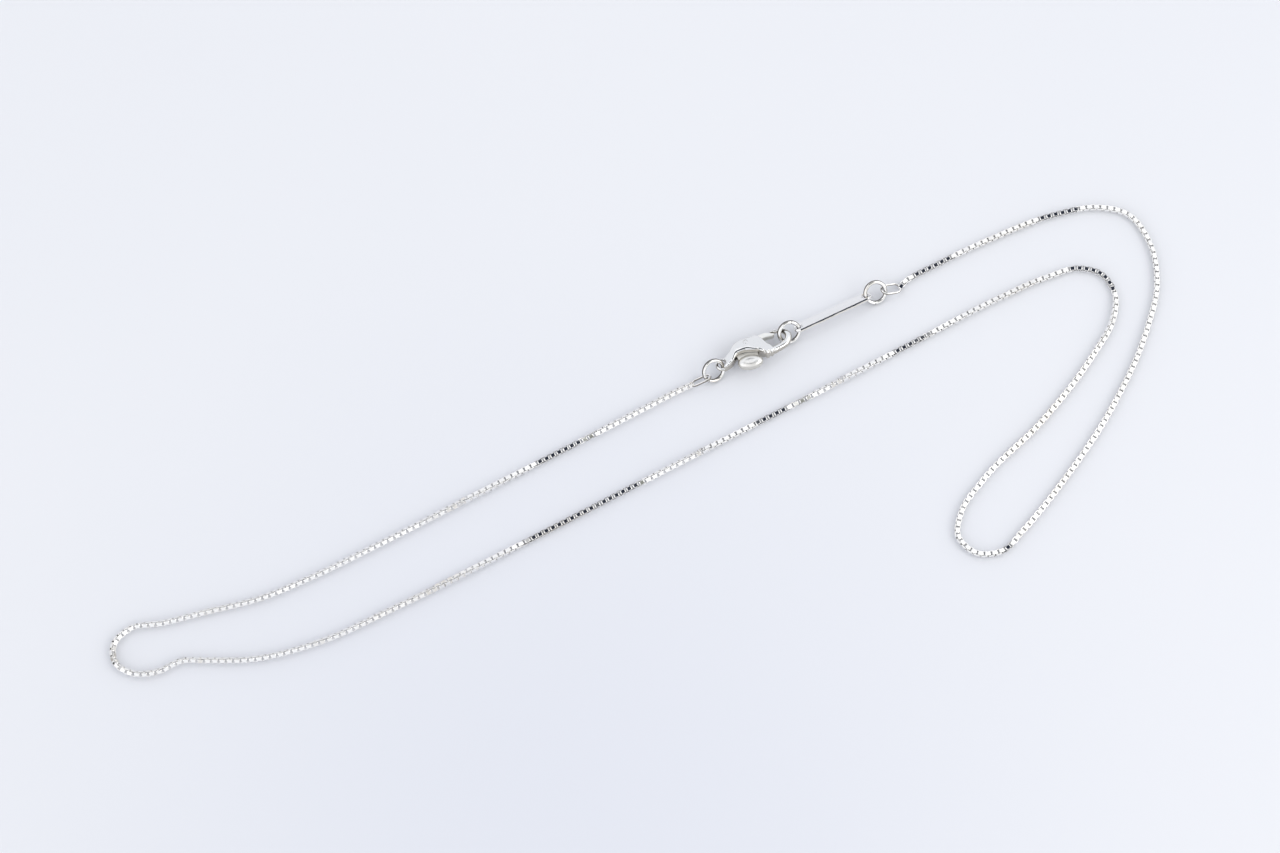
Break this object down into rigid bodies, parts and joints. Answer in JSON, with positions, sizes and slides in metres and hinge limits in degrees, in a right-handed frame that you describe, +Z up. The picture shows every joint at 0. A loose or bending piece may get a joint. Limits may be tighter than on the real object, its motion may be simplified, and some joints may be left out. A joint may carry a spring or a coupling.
{
  "type": "box chain necklace",
  "caption": "Fine silver box chain necklace lying clasped in a folded loop, closed by a lobster clasp, round jump rings and a flat bar tag.",
  "frame": {"origin": "on the table, under the middle of the whole lying necklace", "axes": "+X along the long strands towards the flat tag, +Y across them towards the clasp's strand, +Z up from the table"},
  "size_m": [0.1476, 0.0408, 0.0026],
  "materials": {
    "chain_silver": "polished silver box links",
    "ring_silver": "polished silver wire",
    "clasp_silver": "polished cast silver",
    "tag_silver": "polished flat silver, unmarked"
  },
  "bodies": {
    "necklace": {"chain": "chain_silver", "end_loop_left": "ring_silver", "end_loop_right": "ring_silver", "clasp_ring": "ring_silver", "catch_ring": "ring_silver", "tag_ring": "ring_silver", "clasp_body": "clasp_silver", "clasp_pin": "clasp_silver", "tag_plate": "tag_silver"},
    "lever": {"clasp_lever": "clasp_silver"}
  },
  "joints": [
    {"name": "lever_hinge", "type": "hinge", "parent": "necklace", "child": "lever", "pos_m": [0.0183, 0.01964, 0.0012], "axis": [0, -0.1392, -0.9903], "range_deg": [0, 13], "stiffness_Nm_per_rad": 0.002}
  ]
}
